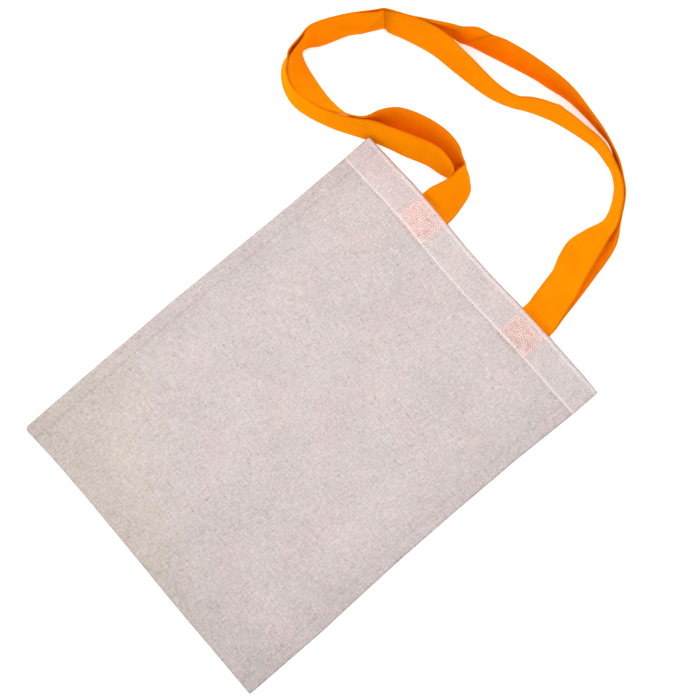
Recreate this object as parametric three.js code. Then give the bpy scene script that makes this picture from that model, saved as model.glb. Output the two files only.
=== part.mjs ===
// Flat cotton tote bag with two long straps, lying on its back panel
//
// Millimetres, +Z up. The origin is the middle of the back panel's underside, on the surface that the
// bag lies on. +X runs along the mouth to the right and +Y from the folded bottom to the mouth.

import * as THREE from 'three';

// Cloth of the body
const CLOTH = 1.0; // one layer
const HEM_DEPTH = 28; // the top edge, turned in all round the mouth, which doubles the wall
const HEM_STEP = 2; // length over which the wall grows from one layer to two
const SEAM = 3; // sewn width along each side
const FOLD = 1.5; // solid width along the folded bottom
const SIDE_GAP = 0.4; // space left between the two panels beside the seams
const FULL_GAP = 6.5; // space between the panels in the middle of the bag
const FULL_FROM = 75; // distance from the bottom fold at which the bag reaches that space
const FLATNESS = 4; // power of the profile across the bag, higher for a flatter top
const BACK_LEAD = 1.2; // how far the back panel's mouth edge lies beyond the front's, in its middle
const LEAD_FLATNESS = 12; // power of that lead across the bag, nothing at the seams
const CORNER_LIFT = 8; // how far the mouth's left corner is raised by the strap under it
const CORNER_REACH = 30; // distance from that corner at which the cloth lies flat again

// Corners of the body as it lies, a little out of square as sewn cloth is
const CORNERS = {
  bottomLeft: new THREE.Vector2(-154.4, -197.6),
  bottomRight: new THREE.Vector2(150.6, -202.1),
  mouthLeft: new THREE.Vector2(-147.8, 196.5),
  mouthRight: new THREE.Vector2(151.9, 201),
};
const BAG_HEIGHT = 398; // along the middle, which sets the stations below

// How far the outline bows from the straight lines between those corners: the sides outwards, by the
// distance from the bottom, and the bottom and the mouth upwards, by the share of the width
const SIDE_BOWS = [
  { at: 0, left: 0, right: 0 },
  { at: 80, left: 1.1, right: 0.1 },
  { at: 120, left: 1.3, right: -1.3 },
  { at: 172, left: 1.9, right: -2.7 },
  { at: 232, left: 0.9, right: -3.0 },
  { at: 307, left: -0.1, right: -2.2 },
  { at: 370, left: 0.2, right: 0.1 },
  { at: 398, left: 0, right: 0 },
];
const END_BOWS = [
  { at: 0, bottom: 0, mouth: 0 },
  { at: 0.11, bottom: 1.6, mouth: 0.4 },
  { at: 0.18, bottom: 1.9, mouth: 1.2 },
  { at: 0.27, bottom: 2.0, mouth: 0.7 },
  { at: 0.36, bottom: 1.7, mouth: -0.7 },
  { at: 0.43, bottom: 1.5, mouth: -1.7 },
  { at: 0.54, bottom: 0.9, mouth: -1.8 },
  { at: 0.63, bottom: 0.4, mouth: -0.7 },
  { at: 0.75, bottom: 0.2, mouth: 0 },
  { at: 0.88, bottom: 0.2, mouth: -0.2 },
  { at: 1, bottom: 0, mouth: 0 },
];

// Straps: each row is one section across the strap, by its left and right edge in plan as one goes from
// the left end to the right end, and by how high its lowest point lies. The left edge is never the lower
// one, and the strap's width gives how far it stands up.
const STRAP_WIDTH = 34;
const STRAP_THICK = 1.4;
const FRONT_SECTIONS = [
  { leftX: -80, leftY: 172, rightX: -46, rightY: 172, lift: 5.7 }, // sewn end inside the front hem
  { leftX: -80, leftY: 202, rightX: -46, rightY: 202, lift: 5.7 },
  { leftX: -77.5, leftY: 213, rightX: -48.5, rightY: 218, lift: 6.5 },
  { leftX: -74.5, leftY: 224, rightX: -53.5, rightY: 231.5, lift: 7.5 },
  { leftX: -74.5, leftY: 233, rightX: -60, rightY: 237, lift: 6 },
  { leftX: -74.9, leftY: 242.2, rightX: -71.2, rightY: 241.9, lift: 3 },
  { leftX: -78.9, leftY: 244.3, rightX: -74.3, rightY: 238.5, lift: 1.5 },
  { leftX: -83.6, leftY: 246.5, rightX: -76, rightY: 232.6, lift: 0.5 }, // stands up and turns left
  { leftX: -89, leftY: 249, rightX: -90.5, rightY: 233.5, lift: 0 },
  { leftX: -106, leftY: 250, rightX: -105.5, rightY: 231, lift: 0 }, // leans out along the upper bend
  { leftX: -129.5, leftY: 243.5, rightX: -123, rightY: 223.5, lift: 0 },
  { leftX: -149.5, leftY: 231.5, rightX: -139, rightY: 215.5, lift: 0 },
  { leftX: -158, leftY: 218, rightX: -147.5, rightY: 210.5, lift: 0 },
  { leftX: -162.5, leftY: 204, rightX: -158.5, rightY: 203, lift: 0 },
  { leftX: -176, leftY: 192, rightX: -178, rightY: 195, lift: 0 }, // upright, then leans the other way
  { leftX: -195, leftY: 180, rightX: -196.5, rightY: 193, lift: 0 },
  { leftX: -217, leftY: 174, rightX: -218.5, rightY: 195, lift: 0 },
  { leftX: -234, leftY: 178, rightX: -233, rightY: 197.5, lift: 0 },
  { leftX: -243.4, leftY: 188.4, rightX: -239.6, rightY: 199.7, lift: 0 },
  { leftX: -245, leftY: 193, rightX: -241.2, rightY: 200.4, lift: 0 },
  { leftX: -247.9, leftY: 207.5, rightX: -243, rightY: 203.5, lift: 1 }, // tight corner of the left curl
  { leftX: -252, leftY: 218.5, rightX: -241.5, rightY: 208.5, lift: 2.5 }, // lies against the back strap
  { leftX: -249.5, leftY: 230, rightX: -236, rightY: 217, lift: 3 },
  { leftX: -237, leftY: 253.5, rightX: -226, rightY: 243.5, lift: 3 },
  { leftX: -229.9, leftY: 261.8, rightX: -220.2, rightY: 253.6, lift: 3 },
  { leftX: -223.4, leftY: 270.5, rightX: -214.2, rightY: 263.3, lift: 3 },
  { leftX: -220.5, leftY: 277, rightX: -210.4, rightY: 269.2, lift: 3 }, // crease left by packing
  { leftX: -216, leftY: 281, rightX: -206, rightY: 269.7, lift: 3 },
  { leftX: -201, leftY: 291.8, rightX: -194, rightY: 275.5, lift: 3 },
  { leftX: -174.5, leftY: 303.5, rightX: -166.5, rightY: 286, lift: 1.5 },
  { leftX: -143.5, leftY: 307, rightX: -140, rightY: 291, lift: 0 },
  { leftX: -106.5, leftY: 309.5, rightX: -104.5, rightY: 299, lift: 0 },
  { leftX: -89, leftY: 315.2, rightX: -86, rightY: 308, lift: 0 },
  { leftX: -79.5, leftY: 324.2, rightX: -75.8, rightY: 315.8, lift: 0 },
  { leftX: -64, leftY: 335, rightX: -59.2, rightY: 324.2, lift: 0 },
  { leftX: -59, leftY: 338.2, rightX: -54.5, rightY: 326.5, lift: 0 }, // blunt kink in the long run
  { leftX: -53, leftY: 339.2, rightX: -49, rightY: 328.6, lift: 0 },
  { leftX: -34.5, leftY: 342.1, rightX: -33.6, rightY: 333.8, lift: 0 },
  { leftX: -10.6, leftY: 345.2, rightX: -10.7, rightY: 339.2, lift: 0 },
  { leftX: 8, leftY: 341.4, rightX: 2.5, rightY: 338.4, lift: 1 },
  { leftX: 21, leftY: 336.8, rightX: 15, rightY: 336, lift: 2.5 }, // lies against the back strap again
  { leftX: 34, leftY: 328.8, rightX: 28.5, rightY: 327, lift: 3 },
  { leftX: 50.3, leftY: 308.8, rightX: 41.4, rightY: 305, lift: 2 },
  { leftX: 55.5, leftY: 294.5, rightX: 37.5, rightY: 286.8, lift: 1.5 }, // falls open towards its right end
  { leftX: 63, leftY: 274, rightX: 34.8, rightY: 269, lift: 2.4 },
  { leftX: 68.8, leftY: 257, rightX: 38.8, rightY: 254.3, lift: 2.4 },
  { leftX: 74.5, leftY: 242, rightX: 45.6, rightY: 240, lift: 2.4 },
  { leftX: 82, leftY: 218, rightX: 51, rightY: 215, lift: 4 },
  { leftX: 86.5, leftY: 203, rightX: 52.5, rightY: 203, lift: 5.7 },
  { leftX: 86.5, leftY: 174, rightX: 52.5, rightY: 174, lift: 5.7 }, // sewn end inside the front hem
];
const BACK_SECTIONS = [
  { leftX: -80, leftY: 173, rightX: -46, rightY: 173, lift: 2.3 }, // sewn end inside the back hem
  { leftX: -80, leftY: 206, rightX: -46, rightY: 206, lift: 2.3 },
  { leftX: -77.3, leftY: 214, rightX: -48.5, rightY: 217, lift: 1 },
  { leftX: -74.5, leftY: 222, rightX: -53, rightY: 226.5, lift: 0 },
  { leftX: -76.4, leftY: 231, rightX: -75, rightY: 225.5, lift: 0 }, // stands up under the front strap
  { leftX: -84.9, leftY: 234.6, rightX: -84, rightY: 222.3, lift: 0 },
  { leftX: -101, leftY: 234.5, rightX: -96.5, rightY: 218.8, lift: 0 }, // leans out beside the front strap
  { leftX: -120.5, leftY: 226, rightX: -114, rightY: 210, lift: 0 },
  { leftX: -138.5, leftY: 216, rightX: -133.5, rightY: 201.5, lift: 0 },
  { leftX: -155.5, leftY: 206.6, rightX: -149, rightY: 193.4, lift: 0 }, // passes under the bag's corner
  { leftX: -168.9, leftY: 195.2, rightX: -166, rightY: 183, lift: 0 },
  { leftX: -173.6, leftY: 191.8, rightX: -172.8, rightY: 179.1, lift: 1.2 },
  { leftX: -179.7, leftY: 187.7, rightX: -180, rightY: 175.5, lift: 2.4 },
  { leftX: -186.6, leftY: 183.65, rightX: -188, rightY: 171.9, lift: 3 },
  { leftX: -194.7, leftY: 179.4, rightX: -196.3, rightY: 168.8, lift: 2.8 },
  { leftX: -211.3, leftY: 174.6, rightX: -212, rightY: 165.4, lift: 1.8 }, // outer rim of the left curl
  { leftX: -226.1, leftY: 174.4, rightX: -228, rightY: 168.2, lift: 1 },
  { leftX: -237.2, leftY: 179.2, rightX: -240.7, rightY: 176.1, lift: 0.6 },
  { leftX: -243.6, leftY: 186.2, rightX: -247.8, rightY: 187, lift: 0.3 },
  { leftX: -248.5, leftY: 192, rightX: -247.6, rightY: 195, lift: 0 },
  { leftX: -251.2, leftY: 207.2, rightX: -246.3, rightY: 205.5, lift: 0 },
  { leftX: -253.2, leftY: 219.4, rightX: -242.8, rightY: 209.7, lift: 0 }, // behind the front strap
  { leftX: -250.3, leftY: 230.6, rightX: -236.8, rightY: 217.6, lift: 0 },
  { leftX: -237.8, leftY: 254.2, rightX: -226.9, rightY: 244.2, lift: 0 },
  { leftX: -225.3, leftY: 272.1, rightX: -215, rightY: 263.9, lift: 0 },
  { leftX: -221.3, leftY: 277.7, rightX: -211.2, rightY: 269.9, lift: 0 },
  { leftX: -216.7, leftY: 281.7, rightX: -206.7, rightY: 270.6, lift: 0 },
  { leftX: -201.3, leftY: 292.6, rightX: -194.4, rightY: 276.3, lift: 0 },
  { leftX: -184, leftY: 305, rightX: -180.5, rightY: 299, lift: 0 },
  { leftX: -173, leftY: 313.3, rightX: -168.2, rightY: 308.9, lift: 0 }, // comes away from it
  { leftX: -166, leftY: 318, rightX: -158.8, rightY: 313.2, lift: 0 },
  { leftX: -155, leftY: 329.5, rightX: -146, rightY: 317.8, lift: 0 },
  { leftX: -119.5, leftY: 344.5, rightX: -115, rightY: 330.2, lift: 0 },
  { leftX: -95, leftY: 351.2, rightX: -92.5, rightY: 339, lift: 0 },
  { leftX: -76.5, leftY: 354.9, rightX: -76, rightY: 343.8, lift: 0 },
  { leftX: -59.5, leftY: 356.1, rightX: -59.5, rightY: 348.8, lift: 0 },
  { leftX: -43, leftY: 355, rightX: -42, rightY: 351, lift: 0 },
  { leftX: -20, leftY: 352.7, rightX: -20, rightY: 351.8, lift: 0 },
  { leftX: -4, leftY: 349.4, rightX: -4, rightY: 351.4, lift: 0 }, // upright along the right bend
  { leftX: 11.5, leftY: 344.6, rightX: 9, rightY: 344.8, lift: 0 },
  { leftX: 23, leftY: 338.6, rightX: 17.5, rightY: 338, lift: 0 },
  { leftX: 35.2, leftY: 330.5, rightX: 29.8, rightY: 328.9, lift: 0 },
  { leftX: 52, leftY: 310.2, rightX: 43.9, rightY: 306.4, lift: 0 },
  { leftX: 63.8, leftY: 296.5, rightX: 42, rightY: 290, lift: 0 }, // falls flat under the front strap
  { leftX: 70.8, leftY: 280, rightX: 39, rightY: 272.5, lift: 0 },
  { leftX: 77.5, leftY: 250, rightX: 45, rightY: 242.5, lift: 0 },
  { leftX: 83.6, leftY: 218, rightX: 50.6, rightY: 215, lift: 0.8 },
  { leftX: 86.5, leftY: 206, rightX: 52.5, rightY: 206, lift: 2.3 },
  { leftX: 86.5, leftY: 174, rightX: 52.5, rightY: 174, lift: 2.3 }, // sewn end inside the back hem
];

// Fineness
const BODY_COLUMNS = 22; // cells across each panel
const STRAP_STEPS = 3; // sections made for each row of a strap's table
const STRAP_COLUMNS = 2; // cells across a strap

const ecru = new THREE.MeshStandardMaterial({ color: 0xdccfcd, roughness: 0.95, metalness: 0 });
const orange = new THREE.MeshStandardMaterial({ color: 0xff8a0a, roughness: 0.9, metalness: 0 });

// One closed solid from rings of points. Each ring runs along one face and back along the other, so
// point k lies opposite the k-th point from its end, and the two end rings are closed across.
function solidFromRings(rings) {
  const count = rings[0].length;
  const triangles = [];
  const quad = (a, b, c, d) => triangles.push(a, b, c, a, c, d);
  for (let r = 0; r + 1 < rings.length; r += 1) {
    for (let k = 0; k < count; k += 1) {
      const next = (k + 1) % count;
      quad(r * count + k, (r + 1) * count + k, (r + 1) * count + next, r * count + next);
    }
  }
  const last = (rings.length - 1) * count;
  for (let k = 0; k + 1 < count / 2; k += 1) {
    const across = count - 1 - k;
    quad(k, k + 1, across - 1, across);
    quad(last + k, last + across, last + across - 1, last + k + 1);
  }
  const geometry = new THREE.BufferGeometry();
  const positions = rings.flat().flatMap((point) => point.toArray());
  geometry.setAttribute('position', new THREE.Float32BufferAttribute(positions, 3));
  geometry.setIndex(triangles);
  geometry.computeVertexNormals();
  return geometry;
}

// Value of a table's column at a place between its rows
function lookUp(rows, column, at) {
  const lower = rows.findLast((row) => row.at <= at) ?? rows[0];
  const upper = rows.find((row) => row.at >= at) ?? rows.at(-1);
  if (lower === upper) return lower[column];
  const share = (at - lower.at) / (upper.at - lower.at);
  return THREE.MathUtils.lerp(lower[column], upper[column], share);
}

// A point of the body in plan: across from 0 at the left to 1, and along in millimetres from the bottom
function planPoint(across, along) {
  const share = along / BAG_HEIGHT;
  const left = new THREE.Vector2().lerpVectors(CORNERS.bottomLeft, CORNERS.mouthLeft, share);
  const right = new THREE.Vector2().lerpVectors(CORNERS.bottomRight, CORNERS.mouthRight, share);
  left.x -= lookUp(SIDE_BOWS, 'left', along);
  right.x += lookUp(SIDE_BOWS, 'right', along);
  const point = left.lerp(right, across);
  const bottom = lookUp(END_BOWS, 'bottom', across);
  const mouth = lookUp(END_BOWS, 'mouth', across);
  point.y += THREE.MathUtils.lerp(bottom, mouth, share);
  return point;
}

// Space between the two panels
function panelGap(across, along) {
  const fromSide = 1 - Math.abs(2 * across - 1) ** FLATNESS;
  const fromFold = Math.sin((Math.PI / 2) * Math.min(1, along / FULL_FROM));
  return SIDE_GAP + (FULL_GAP - SIDE_GAP) * fromSide * fromFold;
}

// Height that the strap under the mouth's left corner adds to the cloth there
function cornerLift(point) {
  const near = Math.max(0, 1 - point.distanceTo(CORNERS.mouthLeft) / CORNER_REACH);
  return CORNER_LIFT * near ** 2;
}

// One ring of the body: the back face from left to right, then the front face from right to left
function bodyRing({ along, lead, wall, inside }) {
  const width = CORNERS.mouthRight.x - CORNERS.mouthLeft.x;
  const inset = inside ? SEAM / width : 0;
  const back = [];
  const front = [];
  for (let k = 0; k <= BODY_COLUMNS; k += 1) {
    const share = (1 - Math.cos((Math.PI * k) / BODY_COLUMNS)) / 2;
    const across = inset + (1 - 2 * inset) * share;
    const backPoint = planPoint(across, along + lead * (1 - Math.abs(2 * across - 1) ** LEAD_FLATNESS));
    const frontPoint = planPoint(across, along);
    const backHeight = cornerLift(backPoint) + (inside ? wall : 0);
    const frontInner = cornerLift(frontPoint) + wall + panelGap(across, along);
    back.push(new THREE.Vector3(backPoint.x, backPoint.y, backHeight));
    front.push(new THREE.Vector3(frontPoint.x, frontPoint.y, inside ? frontInner : frontInner + wall));
  }
  return [...back, ...front.reverse()];
}

// The pouch: up its outside from the fold to the mouth, and down its inside again
function bagBody() {
  const hemStart = BAG_HEIGHT - HEM_DEPTH;
  const panelStations = [0.12, 0.25, 0.45, 0.7, 1, 1.6, 2.3, 3.1, 4.1].map((share) => share * FULL_FROM);
  const stations = [
    ...panelStations.map((along) => ({ along, lead: 0, wall: CLOTH })),
    { along: hemStart - HEM_STEP, lead: 0, wall: CLOTH },
    { along: hemStart, lead: 0, wall: 2 * CLOTH },
    { along: BAG_HEIGHT - HEM_DEPTH / 2, lead: 0, wall: 2 * CLOTH },
    { along: BAG_HEIGHT - HEM_DEPTH / 5, lead: 0, wall: 2 * CLOTH },
    { along: BAG_HEIGHT, lead: BACK_LEAD, wall: 2 * CLOTH },
  ];
  const outside = [{ along: 0, lead: 0, wall: CLOTH }, ...stations];
  const inside = [{ along: FOLD, lead: 0, wall: CLOTH }, ...stations].reverse();
  const rings = [
    ...outside.map((station) => bodyRing({ ...station, inside: false })),
    ...inside.map((station) => bodyRing({ ...station, inside: true })),
  ];
  return solidFromRings(rings);
}

// Smooth run of one edge of a strap through its table, with the lift as its height
function edgeCurve(sections, side) {
  const points = sections.map((row) => new THREE.Vector3(row[`${side}X`], row[`${side}Y`], row.lift));
  return new THREE.CatmullRomCurve3(points, false, 'centripetal');
}

// A strap as a flat band that keeps its width: where its edges come close in plan it stands up
function strap(sections) {
  const leftEdge = edgeCurve(sections, 'left');
  const rightEdge = edgeCurve(sections, 'right');
  const steps = (sections.length - 1) * STRAP_STEPS;
  const spans = [];
  for (let s = 0; s <= steps; s += 1) {
    const low = rightEdge.getPoint(s / steps);
    const across = leftEdge.getPoint(s / steps).sub(low).setZ(0);
    across.clampLength(0, STRAP_WIDTH);
    across.z = Math.sqrt(Math.max(0, STRAP_WIDTH ** 2 - across.lengthSq()));
    spans.push({ low, across, centre: low.clone().addScaledVector(across, 0.5) });
  }
  const rings = spans.map(({ low, across }, s) => {
    const ahead = spans[Math.min(s + 1, steps)].centre;
    const behind = spans[Math.max(s - 1, 0)].centre;
    const half = ahead.clone().sub(behind).cross(across).setLength(STRAP_THICK / 2);
    const base = low.clone();
    base.z += Math.abs(half.z);
    const top = [];
    const under = [];
    for (let k = 0; k <= STRAP_COLUMNS; k += 1) {
      const middle = base.clone().addScaledVector(across, k / STRAP_COLUMNS);
      top.push(middle.clone().add(half));
      under.push(middle.clone().sub(half));
    }
    return [...top, ...under.reverse()];
  });
  return solidFromRings(rings);
}

function part(name, geometry, material) {
  const mesh = new THREE.Mesh(geometry, material);
  mesh.name = name;
  return mesh;
}

const toteBag = new THREE.Group();
toteBag.add(part('bag_body', bagBody(), ecru));
toteBag.add(part('front_strap', strap(FRONT_SECTIONS), orange));
toteBag.add(part('back_strap', strap(BACK_SECTIONS), orange));

export default toteBag;
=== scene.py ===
"""Flat cotton tote bag with two long straps: its cloth, stitches and stage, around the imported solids.

Metres, +Z up. The bag lies on its back panel: +X runs along the mouth and +Y from the fold to the mouth.
"""

import math
from collections import namedtuple
from functools import partialmethod

import bmesh
import bpy
import numpy as np
from bpy.props import FloatProperty, FloatVectorProperty, PointerProperty
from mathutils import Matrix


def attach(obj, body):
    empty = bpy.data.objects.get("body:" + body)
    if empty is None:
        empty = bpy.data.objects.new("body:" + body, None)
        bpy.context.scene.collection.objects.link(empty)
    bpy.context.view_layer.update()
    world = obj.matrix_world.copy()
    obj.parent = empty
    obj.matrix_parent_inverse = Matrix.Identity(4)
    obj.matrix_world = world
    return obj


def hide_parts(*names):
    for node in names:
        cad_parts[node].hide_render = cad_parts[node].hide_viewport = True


bl_info = {
    "name": "Cotton tote bag",
    "version": (1, 0, 0),
    "blender": (4, 5, 0),
    "location": "View3D > Sidebar > Tote bag",
    "description": "Sews a flat cotton tote bag with two long orange straps",
    "category": "Add Mesh",
}

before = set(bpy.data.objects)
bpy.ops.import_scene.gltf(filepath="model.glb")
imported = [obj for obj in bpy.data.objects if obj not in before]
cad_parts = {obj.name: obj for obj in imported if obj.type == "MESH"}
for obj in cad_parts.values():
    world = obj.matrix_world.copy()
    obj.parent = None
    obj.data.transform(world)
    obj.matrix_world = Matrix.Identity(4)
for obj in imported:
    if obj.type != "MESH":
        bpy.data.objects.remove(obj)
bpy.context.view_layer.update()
MM = 0.001

# Corners of a square about its middle, in order
SQUARE = ((-1, -1), (1, -1), (1, 1), (-1, 1))


def table(columns, *rows):
    """Rows of numbers with named columns."""
    row_kind = namedtuple("Row", columns)
    return [row_kind(*row) for row in rows]


# Corners of the body in plan, a little out of square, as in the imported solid
BOTTOM_LEFT = np.array([-154.4, -197.6]) * MM
BOTTOM_RIGHT = np.array([150.6, -202.1]) * MM
MOUTH_LEFT = np.array([-147.8, 196.5]) * MM
MOUTH_RIGHT = np.array([151.9, 201.0]) * MM
BAG_HEIGHT = 398 * MM
BAG_WIDTH = float(MOUTH_RIGHT[0] - MOUTH_LEFT[0])
MOUTH_MIDDLE = float(MOUTH_RIGHT[0] + MOUTH_LEFT[0]) / 2

# How far the outline bows from the straight lines between those corners, in millimetres: the sides
# outwards by the distance along from the fold, and the fold and the mouth along +Y by the share across
SIDE_BOWS = table(
    "along left right",
    (0, 0, 0),
    (80, 1.1, 0.1),
    (120, 1.3, -1.3),
    (172, 1.9, -2.7),
    (232, 0.9, -3.0),
    (307, -0.1, -2.2),
    (370, 0.2, 0.1),
    (398, 0, 0),
)
END_BOWS = table(
    "across fold mouth",
    (0, 0, 0),
    (0.11, 1.6, 0.4),
    (0.18, 1.9, 1.2),
    (0.27, 2.0, 0.7),
    (0.36, 1.7, -0.7),
    (0.43, 1.5, -1.7),
    (0.54, 0.9, -1.8),
    (0.63, 0.4, -0.7),
    (0.75, 0.2, 0),
    (0.88, 0.2, -0.2),
    (1, 0, 0),
)
CORNER_ROUND_LEFT = 4.5 * MM
CORNER_ROUND_RIGHT = 2.0 * MM

# The mouth's left corner rests on the strap under it
CORNER_LIFT = 8.0 * MM
CORNER_REACH = 30 * MM

# Names of the two maps on every cloth: places on the cut cloth in metres, and the map to bake through
CLOTH_MAP = "Cloth"
BAKE_MAP = "OFBake"

# Rectangles as shares of the map to bake: the two faces of the front panel, which lie half a map further on
# for the back panel, and a part of a strap within its own strip
Patch = namedtuple("Patch", "left bottom width height")
OUTER_PATCH = Patch(0.01, 0.34, 0.48, 0.65)
INNER_PATCH = Patch(0.01, 0.01, 0.24, 0.31)
STRAP_PATCH = Patch(0.01, 0.02, 0.98, 0.96)

# Sections across each strap in millimetres: both edges in plan, going from the left end to the right one,
# and the height of the lowest point. The left edge is never the lower one. The front strap's sewn ends lie
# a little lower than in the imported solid, clear of the hem.
SECTION_COLUMNS = "left_x left_y right_x right_y lift"
FRONT_SECTIONS = table(
    SECTION_COLUMNS,
    (-80, 172, -46, 172, 5.0),  # sewn end inside the front hem
    (-80, 202, -46, 202, 5.0),
    (-77.5, 213, -48.5, 218, 6.5),
    (-74.5, 224, -53.5, 231.5, 7.5),
    (-74.5, 233, -60, 237, 6),
    (-74.9, 242.2, -71.2, 241.9, 3),
    (-78.9, 244.3, -74.3, 238.5, 1.5),
    (-83.6, 246.5, -76, 232.6, 0.5),  # stands up and turns left
    (-89, 249, -90.5, 233.5, 0),
    (-106, 250, -105.5, 231, 0),  # leans out along the upper bend
    (-129.5, 243.5, -123, 223.5, 0),
    (-149.5, 231.5, -139, 215.5, 0),
    (-158, 218, -147.5, 210.5, 0),
    (-162.5, 204, -158.5, 203, 0),
    (-176, 192, -178, 195, 0),  # upright, then leans the other way
    (-195, 180, -196.5, 193, 0),
    (-217, 174, -218.5, 195, 0),
    (-234, 178, -233, 197.5, 0),
    (-243.4, 188.4, -239.6, 199.7, 0),
    (-245, 193, -241.2, 200.4, 0),
    (-247.9, 207.5, -243, 203.5, 1),  # tight corner of the left curl
    (-252, 218.5, -241.5, 208.5, 2.5),  # lies against the back strap
    (-249.5, 230, -236, 217, 3),
    (-237, 253.5, -226, 243.5, 3),
    (-229.9, 261.8, -220.2, 253.6, 3),
    (-223.4, 270.5, -214.2, 263.3, 3),
    (-220.5, 277, -210.4, 269.2, 3),  # crease left by packing
    (-216, 281, -206, 269.7, 3),
    (-201, 291.8, -194, 275.5, 3),
    (-174.5, 303.5, -166.5, 286, 1.5),
    (-143.5, 307, -140, 291, 0),
    (-106.5, 309.5, -104.5, 299, 0),
    (-89, 315.2, -86, 308, 0),
    (-79.5, 324.2, -75.8, 315.8, 0),
    (-64, 335, -59.2, 324.2, 0),
    (-59, 338.2, -54.5, 326.5, 0),  # blunt kink in the long run
    (-53, 339.2, -49, 328.6, 0),
    (-34.5, 342.1, -33.6, 333.8, 0),
    (-10.6, 345.2, -10.7, 339.2, 0),
    (8, 341.4, 2.5, 338.4, 1),
    (21, 336.8, 15, 336, 2.5),  # lies against the back strap again
    (34, 328.8, 28.5, 327, 3),
    (50.3, 308.8, 41.4, 305, 2),
    (55.5, 294.5, 37.5, 286.8, 1.5),  # falls open towards its right end
    (63, 274, 34.8, 269, 2.4),
    (68.8, 257, 38.8, 254.3, 2.4),
    (74.5, 242, 45.6, 240, 2.4),
    (82, 218, 51, 215, 4),
    (86.5, 203, 52.5, 203, 5.0),
    (86.5, 174, 52.5, 174, 5.0),  # sewn end inside the front hem
)
BACK_SECTIONS = table(
    SECTION_COLUMNS,
    (-80, 173, -46, 173, 2.3),  # sewn end inside the back hem
    (-80, 206, -46, 206, 2.3),
    (-77.3, 214, -48.5, 217, 1),
    (-74.5, 222, -53, 226.5, 0),
    (-76.4, 231, -75, 225.5, 0),  # stands up under the front strap
    (-84.9, 234.6, -84, 222.3, 0),
    (-101, 234.5, -96.5, 218.8, 0),  # leans out beside the front strap
    (-120.5, 226, -114, 210, 0),
    (-138.5, 216, -133.5, 201.5, 0),
    (-155.5, 206.6, -149, 193.4, 0),  # passes under the bag's corner
    (-168.9, 195.2, -166, 183, 0),
    (-173.6, 191.8, -172.8, 179.1, 1.2),
    (-179.7, 187.7, -180, 175.5, 2.4),
    (-186.6, 183.65, -188, 171.9, 3),
    (-194.7, 179.4, -196.3, 168.8, 2.8),
    (-211.3, 174.6, -212, 165.4, 1.8),  # outer rim of the left curl
    (-226.1, 174.4, -228, 168.2, 1),
    (-237.2, 179.2, -240.7, 176.1, 0.6),
    (-243.6, 186.2, -247.8, 187, 0.3),
    (-248.5, 192, -247.6, 195, 0),
    (-251.2, 207.2, -246.3, 205.5, 0),
    (-253.2, 219.4, -242.8, 209.7, 0),  # behind the front strap
    (-250.3, 230.6, -236.8, 217.6, 0),
    (-237.8, 254.2, -226.9, 244.2, 0),
    (-225.3, 272.1, -215, 263.9, 0),
    (-221.3, 277.7, -211.2, 269.9, 0),
    (-216.7, 281.7, -206.7, 270.6, 0),
    (-201.3, 292.6, -194.4, 276.3, 0),
    (-184, 305, -180.5, 299, 0),
    (-173, 313.3, -168.2, 308.9, 0),  # comes away from it
    (-166, 318, -158.8, 313.2, 0),
    (-155, 329.5, -146, 317.8, 0),
    (-119.5, 344.5, -115, 330.2, 0),
    (-95, 351.2, -92.5, 339, 0),
    (-76.5, 354.9, -76, 343.8, 0),
    (-59.5, 356.1, -59.5, 348.8, 0),
    (-43, 355, -42, 351, 0),
    (-20, 352.7, -20, 351.8, 0),
    (-4, 349.4, -4, 351.4, 0),  # upright along the right bend
    (11.5, 344.6, 9, 344.8, 0),
    (23, 338.6, 17.5, 338, 0),
    (35.2, 330.5, 29.8, 328.9, 0),
    (52, 310.2, 43.9, 306.4, 0),
    (63.8, 296.5, 42, 290, 0),  # falls flat under the front strap
    (70.8, 280, 39, 272.5, 0),
    (77.5, 250, 45, 242.5, 0),
    (83.6, 218, 50.6, 215, 0.8),
    (86.5, 206, 52.5, 206, 2.3),
    (86.5, 174, 52.5, 174, 2.3),  # sewn end inside the back hem
)

# Creases across the straps: the place along the table at each edge, the ridge's height and its reach, how
# dark the painted shade line along it is, and how dark the painted shade on the cloth past it is and where
# that has faded. A height below 0 stands out on the other face.
Crease = namedtuple("Crease", "at_left at_right height reach mark shade fade")
FRONT_CREASES = [
    Crease(26.0, 26.0, -0.4 * MM, 14 * MM, 0.12, 0.20, 11 * MM),  # left by packing
    Crease(26.0, 23.75, 1.0 * MM, 12 * MM, 0.0, 0.13, 22 * MM),  # softer fold beside it
    Crease(35.0, 33.0, 0.8 * MM, 14 * MM, 0.08, 0.0, 10 * MM),  # blunt kink
]
BACK_CREASES = [
    Crease(25.0, 25.0, -0.9 * MM, 18 * MM, 0.0, 0.0, 11 * MM),  # gives way behind the front strap's crease
    Crease(31.35, 29.9, 2.2 * MM, 12 * MM, 0.30, 0.0, 10 * MM),  # slanting fold where it comes away
]

# Strap ends behind the hem: their middles along the mouth, and how far they are turned
StrapEnd = namedtuple("StrapEnd", "middle turn")
STRAP_ENDS = {
    "left": StrapEnd(-62.5 * MM, math.radians(0)),
    "right": StrapEnd(70.0 * MM, math.radians(3.5)),
}

# Place of the back strap's end on the cloth map, well clear of the front strap
BACK_STRAP_START = 1.0

# Share of each stitch's length that its thread fills
HEM_FILL = 0.96
BOX_FILL = 0.6

# Stage: sizes and places in metres, and the camera's sensor in millimetres
FLOOR_HALF = 8.0
FLOOR_LEVEL = -0.1 * MM
LAMP_SIZE = 1.6
LAMP_PLACE = (-1.13, 0.53, 1.7)
CAMERA_PLACE = (-18.8 * MM, 62.0 * MM)
CAMERA_SENSOR = 36.0
CAMERA_SIGHT = 20.0


def number(description, default, **kind):
    """A value that a user may change."""
    return FloatProperty(description=description, default=default, **kind)


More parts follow.
